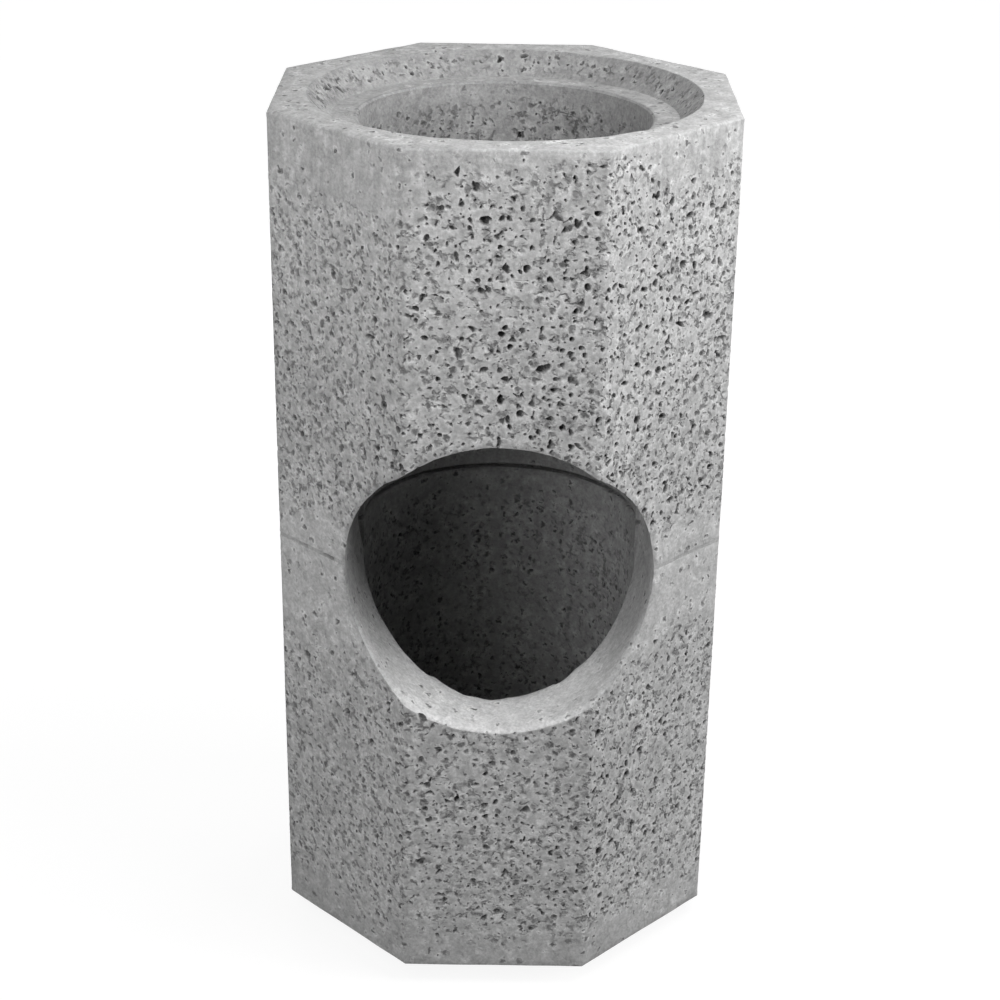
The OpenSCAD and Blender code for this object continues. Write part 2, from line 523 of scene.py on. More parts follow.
# The closed bands end in a wandering line, broad and fine, and fade over shares of their heights
BROAD_WANDER, BROAD_CELL = 16, 38
FINE_WANDER, FINE_CELL = 5, 11
FOOT_WANDER = 0.6
HEAD_FADE = (0.35, 1.25)
FOOT_FADE = (0.3, 1.3)
PATCH_SHARE, PATCH_CELL = 0.22, 60
GRAIN_DOME = 0.22
ARRIS_EASE = 2.2
LARGE_VOID_LOBE = 0.25


def wall_openness(block):
    """How open the wall's texture is at each place: closed bands at head and foot, patchy between."""
    def openness(s, z):
        seed = block["seed"]
        wander = BROAD_WANDER * noise(s, z, BROAD_CELL, seed) + FINE_WANDER * noise(s, z, FINE_CELL, seed + 1)
        from_head = RIM_Z - z + wander
        from_foot = z - SHOULDER_Z + FOOT_WANDER * wander
        head = by_face(block["smooth_head"], s)
        foot = by_face(block["smooth_foot"], s)
        past_head = smoothstep(HEAD_FADE[0] * head, HEAD_FADE[1] * head, from_head)
        past_foot = smoothstep(FOOT_FADE[0] * foot, FOOT_FADE[1] * foot, from_foot)
        patchy = 1 + PATCH_SHARE * noise(s, z, PATCH_CELL, seed + 2)
        return np.clip(past_head * past_foot * by_face(block["openness"], s) * patchy, 0, 1)

    return openness


def large_voids(block):
    """The block's own large voids: face, millimetres across and up, radius, stretch, turn and depth."""
    face, across, up, radius, stretch, turn, depth = np.array(block["voids"], float).T
    count = len(face)
    return Pits((face + 0.5) * SIDE + across, up - block["lift"], radius, stretch, np.radians(turn),
                np.full(count, LARGE_VOID_LOBE), np.arange(count) * 1.3, depth)


# The larger voids that the solids have too, spread by the same rule
VOID_PITCH = 36.0
VOID_R = 2.2
VOID_DEPTH = 2.0
VOID_VARY = 0.25
VOID_STRAY = 0.3
CLOSED_BAND = 30.0
SCATTER_ACROSS, SCATTER_UP, SCATTER_SIZE = 0.7549, 0.5698, 0.3247


def even_scatter(number, step):
    """Values from -1 to 1 that spread evenly as the number goes up."""
    return 2 * (number * step % 1) - 1


def solid_voids(block):
    """The voids of the solid in this block's walls; those at the inlet go with its cut."""
    open_h = RIM_Z - SHOULDER_Z - 2 * CLOSED_BAND
    columns, rows = int(SIDE / VOID_PITCH), int(open_h / VOID_PITCH)
    face, row, column = (a.ravel() for a in np.meshgrid(
        np.arange(FACES), np.arange(rows), np.arange(columns), indexing="ij"))
    number = block["first_void"] + (face * rows + row) * columns + column
    stray = VOID_STRAY * VOID_PITCH
    across = (column + 0.5) * SIDE / columns + stray * even_scatter(number, SCATTER_ACROSS)
    up = (SHOULDER_Z + CLOSED_BAND + (row + 0.5) * open_h / rows
          + stray * even_scatter(number, SCATTER_UP))
    radius = VOID_R * (1 + VOID_VARY * even_scatter(number, SCATTER_SIZE))
    # The solids count their faces from the right one
    own_face = (face + RIGHT) % FACES
    count = len(face)
    return Pits(own_face * SIDE + across, up, radius, 1.15 + 0.15 * even_scatter(number, SCATTER_UP),
                number * 1.7, np.full(count, LARGE_VOID_LOBE), number * 2.3, np.full(count, VOID_DEPTH))


def steady(value):
    return lambda u, v: np.full(len(u), float(value))


def wavy(seed, broad, fine):
    """Gentle unevenness of a moulded face: broad and fine swells, in millimetres."""
    return lambda u, v: broad * noise(u, v, 46, seed + 5) + fine * noise(u, v, 9, seed + 6)


EDGE_STEP = 3.0
FLUE_EDGE = 1.4
EDGE_ROOM = 3.4
SPARE_ROOM = 1.5
PIT_MARGIN = 1.0
GRAIN_MARGIN = 2.0
ROUND_MARGIN = (1.0, 0.8)
SEAM_STEP = 4.0
ARRIS_WEAR, ARRIS_WEAR_VARY, ARRIS_CELL = 0.35, 0.45, 13
FLAT_PITCH, FLAT_STEP, ROUND_STEP = 8.0, 7.0, 8.0
# Chance, size and depth of the inner surfaces' pits, each in a closed and in an open texture
RIM_PITS = ((0, 0.75), (0.8, 1.8), (0.7, 1.5))
SEAT_PITS = ((0, 0.8), (0.8, 2.0), (0.7, 1.5))
LEDGE_PITS = ((0, 0.5), (0.8, 1.6), (0.7, 1.3))
FLUE_PITS = ((0.1, 0.85), (0.9, 1.5), (0.8, 1.3))
TIP_PITS = ((0, 0.4), (0.8, 1.4), (0.6, 1.0))
HIDDEN_PITS = ((0, 0.6), (0.8, 1.6), (0.7, 1.2))
RING_COUNTS = {"mouth": 288, "seat": 256, "flue": 216, "spigot": 256, "tip": 256}


def worn_ring(count, radius, z, seed, wear):
    """A round edge of the mould, a little uneven."""
    angle = FLUE_SEAM_ANGLE + full_turn(count)
    bite = wear * noise(angle * radius, 0 * angle, 14, seed)
    return circle_xyz(angle, radius + bite, z - 0.5 * np.abs(bite))


def arris_wear(z, arris, seed):
    """How far an arris of the octagon is worn back at each height."""
    return ARRIS_WEAR + ARRIS_WEAR_VARY * np.abs(noise(z, 0 * z + 40 * arris, ARRIS_CELL, seed + 3))


def build_block(name):
    """One liner, before the inlet is cut: a closed skin standing on its spigot."""
    block = BLOCKS[name]
    seed = block["seed"]
    rng = np.random.default_rng(seed)
    skin = Skin()
    girth_s = girth_points(EDGE_STEP)

    def edge_ring(z, inset):
        bite = 1 + 0.4 * noise(girth_s, 0 * girth_s, 17, seed + 11)
        return skin.add(octagon_xyz(girth_s, z, inset * bite))

    arris_foot, arris_head = block["arris_foot"], block["arris_head"]
    wall_foot_z, wall_head_z = SHOULDER_Z + arris_foot, RIM_Z - arris_head
    wall_foot = skin.add(octagon_xyz(girth_s, wall_foot_z, 0.0))
    wall_head = skin.add(octagon_xyz(girth_s, wall_head_z, 0.0))
    foot_bend = edge_ring(SHOULDER_Z + 0.3 * arris_foot, 0.3 * arris_foot)
    head_bend = edge_ring(RIM_Z - 0.3 * arris_head, 0.3 * arris_head)
    shoulder_edge = edge_ring(SHOULDER_Z, arris_foot)
    rim_edge = edge_ring(RIM_Z, arris_head)
    skin.band(wall_head, head_bend)
    skin.band(head_bend, rim_edge)
    skin.band(shoulder_edge, foot_bend)
    skin.band(foot_bend, wall_foot)

    openness = wall_openness(block)
    wall_box = ((0, wall_foot_z), (GIRTH, wall_head_z))
    pits, grains = grain_pits(rng, wall_box, block["grain"], openness, block["look"])
    pits = pits.joined(large_voids(block)).joined(solid_voids(block)).kept_in(wall_box, PIT_MARGIN)
    arris_z = np.arange(wall_foot_z + EDGE_STEP, wall_head_z - EDGE_STEP / 2, EDGE_STEP)
    seam_ids = skin.add(octagon_xyz(np.zeros(len(arris_z)), arris_z, arris_wear(arris_z, 0, seed)))
    arris_uv = np.array([(k * SIDE + aside, z) for k in range(1, FACES) for z in arris_z
                         for aside in (-ARRIS_EASE, 0.0, ARRIS_EASE)])
    spare = np.concatenate([arris_uv, grains[inside(grains, wall_box, GRAIN_MARGIN)]])
    wave = wavy(seed, 0.25, 0.12)

    def wall_wave(s, z):
        to_arris = np.abs((s + SIDE / 2) % SIDE - SIDE / 2)
        worn = arris_wear(z, np.round(s / SIDE), seed)
        return wave(s, z) * smoothstep(0, 12, to_arris) + np.where(to_arris < 0.01, worn, 0)

    loop = unrolled_loop(uv_points(girth_s, wall_foot_z), wall_foot,
                         uv_points(girth_s, wall_head_z), wall_head, arris_z, seam_ids, GIRTH)
    skin.patch([loop], wall_xyz, pits, spare, openness, wall_wave, True, dome=GRAIN_DOME)

    build_inside(skin, rng, seed, rim_edge, shoulder_edge, block["seat_breaks"])
    skin.xyz[:, 2] += block["lift"]
    return skin


def ring_reach(u, v, round_edge):
    """Distance from the axis, measured square to the octagon's sides unless the edge is round."""
    far = np.hypot(u, v)
    if round_edge:
        return far
    return far * np.cos((np.arctan2(v, u) + FACE_TURN / 2) % FACE_TURN - FACE_TURN / 2)


def flat_ring(skin, rng, outer, inner, level, down, clear_r, seed, look, round_edge=False):
    """A level ring of the block between two rings of points, with a few pits."""
    reach_out = np.abs(skin.xyz[outer, :2]).max()
    box = ((-reach_out, -reach_out), (reach_out, reach_out))
    pits = scatter(rng, box, FLAT_PITCH, steady(0.5), *look)
    pits = pits.chosen((np.hypot(pits.u, pits.v) - pits.reach > clear_r[0])
                       & (ring_reach(pits.u, pits.v, round_edge) + pits.reach < clear_r[1]))
    spare = grid_points(rng, box, FLAT_STEP)
    spare = spare[(np.hypot(*spare.T) > clear_r[0] + SPARE_ROOM)
                  & (ring_reach(*spare.T, round_edge) < clear_r[1] - SPARE_ROOM)]
    loops = [(skin.xyz[ids, :2], ids) for ids in (outer, inner)]
    skin.patch(loops, level_xyz(level, down), pits, spare, steady(0.2),
               wavy(seed, 0.15, 0.12), down > 0, skin.xyz[inner, :2])


def round_patch(skin, rng, foot_ids, head_ids, surface, outward, seed, look, breaks=()):
    """A cylinder or cone of the block between two rings, cut open at the back and unrolled.

    Breaks are places where it has spalled: degrees round, millimetres up, radius, stretch, turn and depth.
    """
    xyz, mean_r, slant = surface
    spacing, pit_look, openness, v0 = look
    width = 2 * math.pi * mean_r
    seam = np.arange(v0 + SEAM_STEP, v0 + slant - SEAM_STEP / 2, SEAM_STEP)
    seam_ids = skin.add(xyz(uv_points(0.0, seam), 0.0))
    loop = unrolled_loop(ring_uv(len(foot_ids), width, v0), foot_ids,
                         ring_uv(len(head_ids), width, v0 + slant), head_ids, seam, seam_ids, width)
    box = ((0, v0), (width, v0 + slant))
    pits = scatter(rng, box, spacing, openness, *pit_look)
    for round_at, up, radius, stretch, turn, deep in breaks:
        along = (math.radians(round_at) - FLUE_SEAM_ANGLE) % (2 * math.pi) * mean_r
        spall = Pits([along], [up], [radius], [stretch], [math.radians(turn)], [0.3], [up], [deep])
        pits = pits.joined(spall)
    pits = pits.kept_in(box, ROUND_MARGIN)
    wave = wavy(seed, 0.2, 0.12)

    def edge_still(u, v):
        return wave(u, v) * smoothstep(0, 8, np.minimum(u, width - u))

    skin.patch([loop], xyz, pits, grid_points(rng, box, ROUND_STEP), openness, edge_still, outward)


def build_inside(skin, rng, seed, rim_edge, shoulder_edge, seat_breaks):
    """Rim, rebate, ledge, flue, spigot and shoulder, from the top round to the bottom."""
    def ring(place, radius, z, number, wear):
        return skin.add(worn_ring(RING_COUNTS[place], radius, z, seed + number, wear))

    mouth = ring("mouth", MOUTH_R, RIM_Z, 20, 0.6)
    seat_foot = ring("seat", LEDGE_R, LEDGE_Z, 21, 0.4)
    ledge_edge = ring("flue", FLUE_R + FLUE_EDGE, LEDGE_Z, 22, 0.5)
    flue_head = ring("flue", FLUE_R, LEDGE_Z - FLUE_EDGE, 22, 0.2)
    flue_foot = ring("flue", FLUE_R, FLUE_EDGE, 23, 0.2)
    tip_inner = ring("flue", FLUE_R + FLUE_EDGE, 0.0, 24, 0.0)
    tip_outer = ring("tip", SPIGOT_TIP_R, 0.0, 24, 0.0)
    spigot_root = ring("spigot", SPIGOT_ROOT_R, SHOULDER_Z, 25, 0.0)

    flat_ring(skin, rng, rim_edge, mouth, RIM_Z, 1, (MOUTH_R + 1.5, HALF_FLATS - EDGE_ROOM),
              seed + 30, RIM_PITS)
    seat = cone_xyz((LEDGE_R, LEDGE_Z), (MOUTH_R, RIM_Z), 1)
    round_patch(skin, rng, seat_foot, mouth, seat, False, seed + 31, (7.5, SEAT_PITS, steady(0.5), 0.0),
                seat_breaks)
    flat_ring(skin, rng, seat_foot, ledge_edge, LEDGE_Z, 1, (FLUE_R + FLUE_EDGE + 1.2, LEDGE_R - 1.2),
              seed + 32, LEDGE_PITS, True)
    skin.band(flue_head[::-1], ledge_edge[::-1])
    flue = (flue_xyz, FLUE_R, LEDGE_Z - 2 * FLUE_EDGE)
    round_patch(skin, rng, flue_foot, flue_head, flue, False, seed + 33,
                (11.5, FLUE_PITS, flue_openness(seed), FLUE_EDGE))
    skin.band(tip_inner[::-1], flue_foot[::-1])
    flat_ring(skin, rng, tip_outer, tip_inner, 0.0, -1, (FLUE_R + FLUE_EDGE + 1.2, SPIGOT_TIP_R - 1.2),
              seed + 34, TIP_PITS, True)
    spigot = cone_xyz((SPIGOT_TIP_R, 0.0), (SPIGOT_ROOT_R, SHOULDER_Z), -1)
    round_patch(skin, rng, tip_outer, spigot_root, spigot, True, seed + 35,
                (8.0, HIDDEN_PITS, steady(0.5), 0.0))
    flat_ring(skin, rng, shoulder_edge, spigot_root, SHOULDER_Z, -1,
              (SPIGOT_ROOT_R + 1.2, HALF_FLATS - EDGE_ROOM), seed + 36, HIDDEN_PITS)


def flue_openness(seed):
    """How open the flue's texture is: closed at its ends, patchy between."""
    def openness(u, v):
        ends = smoothstep(6, 30, v) * smoothstep(4, 26, LEDGE_Z - v)
        return np.clip(ends * (0.6 + 0.35 * noise(u, v, 45, seed + 40)), 0, 1)

    return openness


# The inlet

LIP_REACH = 6.0
BREAKOUT_REACH = 15.0
NOTCH_ANGLE = math.radians(25)
NOTCH_WIDTH = 5.0
NOTCH_DEPTH = 3.0
LEFT_BREAK_ANGLE = math.radians(287)
LEFT_BREAK_WIDTH = 34.0
LEFT_BREAK_DEPTH = 10.5
# From the top of the inlet at -1 to its sill at 1
LIP_EASE = ((-1, -0.2, 0.5, 1), (0.1, 0.5, 2.6, 2.4))
BREAKOUT = ((-1, 0, 1), (4.0, 5.0, 7.0))
PLUG_COLUMNS = 220
PLUG_END = -2.0


def inlet_plug():
    """The space that the inlet takes out of the walls: eased at the outer lip, broken away inside."""
    skin = Skin()
    angle = full_turn(PLUG_COLUMNS)
    down = np.cos(angle)
    x = INLET_R * np.sin(angle)
    outer_y = np.maximum(-HALF_FLATS, np.abs(x) - HALF_FLATS * math.sqrt(2))
    inner_y = -np.sqrt(np.maximum(FLUE_R ** 2 - x ** 2, 0))
    lip = np.interp(down, *LIP_EASE)
    breakout = np.interp(down, *BREAKOUT)
    breakout = breakout * (1 + 0.35 * noise(angle * INLET_R, 0 * angle, 22, 7)
                           + 0.2 * noise(angle * INLET_R, 0 * angle, 7, 8))
    for place, width, depth in ((NOTCH_ANGLE, NOTCH_WIDTH, NOTCH_DEPTH),
                                (LEFT_BREAK_ANGLE, LEFT_BREAK_WIDTH, LEFT_BREAK_DEPTH)):
        breakout = breakout + depth * np.exp(-((angle - place) * INLET_R / width) ** 4)
    rows = [outer_y - 40, outer_y - 12, outer_y - 3, outer_y - 1]
    rows += [outer_y + LIP_REACH * t for t in (0.0, 0.15, 0.35, 0.6, 0.85, 1.0)]
    start, stop = outer_y + LIP_REACH, np.minimum(inner_y, -8.0) - BREAKOUT_REACH
    rows += [start + (stop - start) * t for t in np.linspace(0.1, 1.0, 10)]
    rows += [stop + BREAKOUT_REACH * t for t in (0.15, 0.3, 0.5, 0.7, 0.85, 1.0, 1.2)]
    rows.append(np.full(PLUG_COLUMNS, PLUG_END))
    rings = []
    for y in rows:
        y = np.minimum(y, PLUG_END)
        to_lip = np.clip((outer_y + LIP_REACH - y) / LIP_REACH, 0, 1.6)
        past_stop = np.clip((y - stop) / BREAKOUT_REACH, 0, 1.3)
        rough = 0.35 * noise(angle * INLET_R, y, 16, 3) + 0.2 * noise(angle * INLET_R, y, 5, 4)
        radius = INLET_R + lip * to_lip ** 2 + breakout * past_stop ** 1.5 + rough
        narrowing = 1 - 0.04 * smoothstep(-40, -4, y)
        rings.append(skin.add(np.stack([
            radius * np.sin(angle) * narrowing, y, INLET_Z - radius * down], -1)))
    for outer, inner in zip(rings, rings[1:]):
        skin.band(inner, outer)
    for ring, flip in ((rings[0], False), (rings[-1], True)):
        middle = skin.add(np.array([[0.0, skin.xyz[ring, 1].mean(), INLET_Z]]))[0]
        fan = np.stack([ring, np.roll(ring, -1), np.full(PLUG_COLUMNS, middle)], -1)
        skin.triangles.append(fan[:, ::-1] if flip else fan)
    return skin


# The mortar bed

BED_STEP = 2.0
BED_EDGE = 0.08
# Places where the mortar is missing: face, millimetres across it, half width, depth
BED_VOIDS = ((FRONT_LEFT, -39.0, 4.0, 4.0), (FRONT_LEFT, -14.0, 6.0, 6.0), (FRONT_LEFT, -48.0, 6.0, 0.8),
             (FRONT_RIGHT, 24.0, 9.0, 0.9), (FRONT_RIGHT, 44.0, 7.0, 0.8),
             (BACK_LEFT, 10.0, 6.0, 3.0), (BACK_RIGHT, -20.0, 5.0, 4.0))


def build_bed():
    """The mortar between the rims and down the seat, struck flush, with voids, and smeared at the inlet."""
    skin = Skin()
    s = girth_points(BED_STEP)
    xyz = octagon_xyz(s, 0.0, 0.0)
    recess = 0.12 + 0.2 * noise(s, 0 * s, 21, 61) + 0.12 * noise(s, 0 * s, 6, 62)
    for face, across, half_width, depth in BED_VOIDS:
        centre = (face + 0.5) * SIDE + across
        recess = recess + depth * np.exp(-((s - centre) / half_width) ** 4)
    foot_z, head_z = RIM_Z, RIM_Z + BED_T
    angle = np.arctan2(xyz[:, 1], xyz[:, 0])
    from_front = np.abs((angle + math.pi / 2 + math.pi) % (2 * math.pi) - math.pi)
    smeared = smoothstep(math.radians(105), math.radians(80), from_front)
    inner_r = SPIGOT_TIP_R + (FLUE_R + 1.0 - SPIGOT_TIP_R) * smeared
    at_rim = np.maximum(recess, 0) + BED_EDGE
    outside = ((foot_z, at_rim), (foot_z + 0.25 * BED_T, recess),
               (foot_z + 0.75 * BED_T, recess), (head_z, at_rim))
    seat = ((SPIGOT_ROOT_R, head_z), (SPIGOT_TIP_R, LEDGE_Z + BED_T), (inner_r - 0.5, LEDGE_Z + BED_T),
            (inner_r - 0.5, LEDGE_Z), (LEDGE_R, LEDGE_Z), (MOUTH_R, foot_z))
    rings = [skin.add(octagon_xyz(s, z, inset)) for z, inset in outside]
    rings += [skin.add(circle_xyz(angle, radius, z)) for radius, z in seat]
    for below, above in zip(rings, rings[1:] + rings[:1]):
        skin.band(below, above)
    return skin


# From skins to objects

SHARP_ANGLE = math.radians(38)


def mesh_object(name, skin):
    mesh = bpy.data.meshes.new(name)
    triangles = np.concatenate(skin.triangles)
    mesh.from_pydata((skin.xyz * MM).tolist(), [], triangles.tolist())
    for label, values in skin.marks.items():
        mesh.attributes.new(label, "FLOAT", "POINT").data.foreach_set("value", values.astype(np.float32))
    mesh.validate()
    obj = bpy.data.objects.new(name, mesh)
    bpy.context.scene.collection.objects.link(obj)
    return obj


def cut(obj, plug):
    """Takes the plug out of the object and leaves the result as its mesh."""
    step = obj.modifiers.new("inlet", "BOOLEAN")
    step.operation = "DIFFERENCE"
    step.solver = "MANIFOLD"
    step.object = plug
    bpy.context.view_layer.update()
    evaluated = obj.evaluated_get(bpy.context.evaluated_depsgraph_get())
    mesh = bpy.data.meshes.new_from_object(evaluated)
    obj.modifiers.clear()
    obj.data = mesh
    mesh.name = obj.name


def finish_mesh(obj, material):
    mesh = obj.data
    mesh.shade_smooth()
    mesh.set_sharp_from_angle(angle=SHARP_ANGLE)
    mesh.materials.clear()
    mesh.materials.append(material)


# Materials

class Graph:
    """Short ways to add nodes to a new material or world."""

    def __init__(self, owner):
        owner.use_nodes = True
        self.owner = owner
        self.nodes = owner.node_tree.nodes
        self.links = owner.node_tree.links
        self.shader = self.nodes.get("Principled BSDF") or self.nodes["Background"]

    def fill(self, node, values):
        """Links or sets a node's inputs, each by its name or number."""
        for label, value in values.items():
            if isinstance(value, bpy.types.NodeSocket):
                self.links.new(value, node.inputs[label])
            else:
                node.inputs[label].default_value = value

    def add(self, kind, *values, **settings):
        """A new node with these settings and with values for its first inputs."""
        node = self.nodes.new(kind)
        for key, value in settings.items():
            setattr(node, key, value)
        self.fill(node, dict(enumerate(values)))
        return node

    def math(self, operation, *values):
        return self.add("ShaderNodeMath", *values, operation=operation).outputs[0]

    def vector(self, operation, *values):
        return self.add("ShaderNodeVectorMath", *values, operation=operation).outputs[0]

    def remap(self, value, low, high, to_low=0, to_high=1):
        """A smooth rise or fall of the value, from one range to another."""
        node = self.add("ShaderNodeMapRange", value, low, high, to_low, to_high,
                        interpolation_type="SMOOTHSTEP")
        return node.outputs[0]

    def place(self):
        """Where on its object a point is, in metres."""
        return self.add("ShaderNodeTexCoord").outputs["Object"]

    def texture(self, kind, place, scale, **settings):
        node = self.add(kind, **settings)
        self.fill(node, {"Vector": place, "Scale": scale})
        return node

    def noise(self, place, scale, detail=2.0, roughness=0.5):
        node = self.texture("ShaderNodeTexNoise", place, scale)
        self.fill(node, {"Detail": detail, "Roughness": roughness})
        return node.outputs["Fac"]

    def voronoi(self, place, scale, feature):
        return self.texture("ShaderNodeTexVoronoi", place, scale, feature=feature)

    def vector_noise(self, place, scale):
        """Noise along each axis, as far below zero as above it."""
        colour = self.texture("ShaderNodeTexNoise", place, scale).outputs["Color"]
        return self.vector("SUBTRACT", colour, (0.5, 0.5, 0.5))

    def distance(self, along, across):
        """How far two lengths square to each other reach together."""
        squares = self.math("ADD", self.math("POWER", along, 2), self.math("POWER", across, 2))
        return self.math("SQRT", squares)

    def shade_spots(self, place, scale, rough_here, share, size):
        """Painted shade of small hollows and a painted highlight on their rims: a share of the cells has one,
        and its size varies.
        """
        cells = self.voronoi(place, scale, "F1").outputs
        random = self.add("ShaderNodeSeparateColor", cells["Color"]).outputs
        chosen = self.math("LESS_THAN", random[0], self.product(rough_here, share))
        reach = self.math("MULTIPLY_ADD", random[1], size * 0.6, size * 0.6)
        near = self.math("SUBTRACT", 1, self.math("DIVIDE", cells["Distance"], reach))
        strength = self.product(chosen, self.remap(random[2], 0, 1, 0.45, 1))
        rim = self.product(self.remap(near, -0.7, -0.2), self.remap(near, -0.1, 0.15, 1, 0), strength)
        return self.product(self.remap(near, 0.0, 0.7), strength), rim

    def attribute(self, name):
        return self.add("ShaderNodeAttribute", attribute_name=name).outputs["Fac"]

    def product(self, *factors):
        result = factors[0]
        for factor in factors[1:]:
            result = self.math("MULTIPLY", result, factor)
        return result

    def seen_directly(self):
        """1 for rays from the camera, also by way of a glossy or a clear surface."""
        path = self.add("ShaderNodeLightPath").outputs
        return self.math("MAXIMUM", path["Is Camera Ray"],
                         self.math("MAXIMUM", path["Is Glossy Ray"], path["Is Transmission Ray"]))

    def mix(self, share, first, second):
        """The output of a mix of two shaders."""
        return self.add("ShaderNodeMixShader", share, first.outputs[0], second.outputs[0]).outputs[0]

    def finish(self, tone, roughness, gloss, height, strength, distance):
        """A grey surface of that tone with bumps of that height, as the finished material."""
        colour = self.add("ShaderNodeCombineColor", tone, tone, tone)
        bump = self.add("ShaderNodeBump")
        self.fill(bump, {"Height": height, "Strength": strength, "Distance": distance})
        self.fill(self.shader, {"Base Color": colour.outputs[0], "Roughness": roughness,
                                "Specular IOR Level": gloss, "Normal": bump.outputs[0]})
        return self.owner

    def fine_grain(self, place):
        """The sandy grain that concrete and mortar share."""
        return self.remap(self.noise(place, 480, 3, 0.65), 0.25, 0.75, 0.84, 1.16)


CONCRETE_TONE = 0.408
MORTAR_TONE = 0.41
# Below, all but the washed tone are painted light and shade: a lighter top rim, a darker rebate, lighter pit
# edges, darker pits and hollows, and lighter spot rims
RIM_PAINTED_LIGHT = 1.14
REBATE_PAINTED_SHADE = 0.79
EDGE_PAINTED_HIGHLIGHT = 1.2
WASHED_TONE = 1.13
PIT_SHADE = 0.66
HOLLOW_SHADE = 0.7
SPOT_RIM_HIGHLIGHT = 0.22
GRAINS_PER_METRE = 125
SPOTS_PER_METRE = 168
GRAIN_BEND = 0.0075


def concrete_material():
    """Open-textured lightweight concrete: grains and smeared skin, with painted shade in the crevices between
    grains, in the pits, the rebate and the flue, and painted light on the inlet's sill and the top rim and
    painted highlights round the pits.
    """
    g = Graph(bpy.data.materials.new("liner_concrete"))
    place = g.place()
    x, y, z = g.add("ShaderNodeSeparateXYZ", place).outputs
    pit, openness = g.attribute("pit"), g.attribute("open")

    cloud = g.remap(g.noise(place, 11, 3), 0.3, 0.7, 0.94, 1.06)
    grain = g.fine_grain(place)
    blotch = g.remap(g.noise(place, 190, 2), 0.3, 0.7, 0.93, 1.08)
    cells = g.voronoi(place, GRAINS_PER_METRE, "F1")
    cell_tone = g.remap(cells.outputs["Color"], 0, 1, 0.93, 1.08)
    rough_here = g.remap(openness, 0.05, 0.8, 0.22, 1)

    bend = g.vector("MULTIPLY", g.vector_noise(place, 240), (GRAIN_BEND, GRAIN_BEND, GRAIN_BEND))
    bent = g.vector("ADD", place, bend)
    # Painted shade in the crevices between grains, in broken stretches where the texture is open
    gaps = g.voronoi(bent, GRAINS_PER_METRE, "DISTANCE_TO_EDGE").outputs["Distance"]
    crevice_shade = g.remap(gaps, 0.0, 0.22, 1, 0)
    broken = g.remap(g.noise(place, 150, 2), 0.5, 0.64)
    crevice_shade = g.product(crevice_shade, broken, rough_here)
    # Painted shade in small hollows and in the crevices, and a painted highlight on the hollows' rims
    shade_spots, spot_rim_highlights = g.shade_spots(bent, SPOTS_PER_METRE, rough_here, 0.85, 0.46)
    hollow = g.math("MAXIMUM", g.product(crevice_shade, 0.8), shade_spots)
    painted_rim_highlight = g.math("MULTIPLY_ADD", spot_rim_highlights, SPOT_RIM_HIGHLIGHT, 1)
    hollow_shade_and_highlight = g.math("MULTIPLY_ADD", hollow, -HOLLOW_SHADE, painted_rim_highlight)

    upright = g.vector("MULTIPLY", place, (1, 1, 0.06))
    streaks = g.remap(g.noise(upright, 230, 2), 0.3, 0.7, 0.93, 1.06)
    from_axis = g.distance(x, y)
    near_top = g.product(g.remap(z, 0.52, 0.6), g.remap(from_axis, 0.145, 0.15))
    streak_tone = g.math("ADD", 1, g.product(g.math("SUBTRACT", streaks, 1), near_top))

    # Painted shade on the inlet's upper walls and painted light on its up-facing sill, in its bore through
    # the wall
    up = g.math("SUBTRACT", z, INLET_Z * MM)
    away = g.distance(x, up)
    in_inlet = g.product(g.remap(away, INLET_R * MM + 0.004, INLET_R * MM + 0.0015),
                         g.remap(y, -0.02, -0.05))
    inlet_painted_light_shade = g.math("ADD", g.remap(up, -0.02, -0.075, 0.8, 1.06), g.remap(up, -0.06, -0.1, 0, 0.56))
    painted_light_shade = g.math("ADD", 1, g.product(in_inlet, g.math("SUBTRACT", inlet_painted_light_shade, 1)))
    # Painted light on the upper block's up-facing top rim, and painted shade in its rebate
    on_rim = g.product(g.remap(z, upper_high.z * MM - 0.0022, upper_high.z * MM - 0.0008),
                       g.remap(from_axis, MOUTH_R * MM - 0.001, MOUTH_R * MM + 0.001))
    ledge_z = (UPPER_LIFT + LEDGE_Z) * MM
    in_rebate = g.product(g.remap(z, ledge_z - 0.0005, ledge_z),
                          g.remap(from_axis, MOUTH_R * MM + 0.001, MOUTH_R * MM - 0.001),
                          g.remap(from_axis, LEDGE_R * MM - 0.001, LEDGE_R * MM + 0.001))
    painted_light_shade = g.product(painted_light_shade, g.remap(on_rim, 0, 1, 1, RIM_PAINTED_LIGHT),
                           g.remap(in_rebate, 0, 1, 1, REBATE_PAINTED_SHADE))
    # Painted highlight on the points round the pits' outlines
    painted_edge_highlight = g.remap(g.attribute("edge"), 0, 1, 1, EDGE_PAINTED_HIGHLIGHT)
    # Painted shade down the flue, darkest at its lower part
    in_flue = g.remap(from_axis, FLUE_R * MM + 0.004, FLUE_R * MM + 0.002)
    flue_painted_shade = g.math("ADD", 1, g.product(in_flue, g.remap(z, 0.46, 0.56, -0.27, -0.14)))
    skin_tone = g.remap(openness, 0.05, 0.55, 1.05, 1.0)
    washed = g.product(g.remap(z, 0.235, 0.265), g.remap(z, 0.335, 0.35, 1, 0),
                       g.remap(from_axis, 0.145, 0.15), g.remap(openness, 0.1, 0.5, 1, 0))
    skin_tone = g.product(skin_tone, g.remap(washed, 0, 1, 1, WASHED_TONE))

    tone = g.product(CONCRETE_TONE, cloud, grain, blotch, cell_tone, hollow_shade_and_highlight, streak_tone)
    tone = g.product(tone, painted_light_shade, painted_edge_highlight, flue_painted_shade, skin_tone)
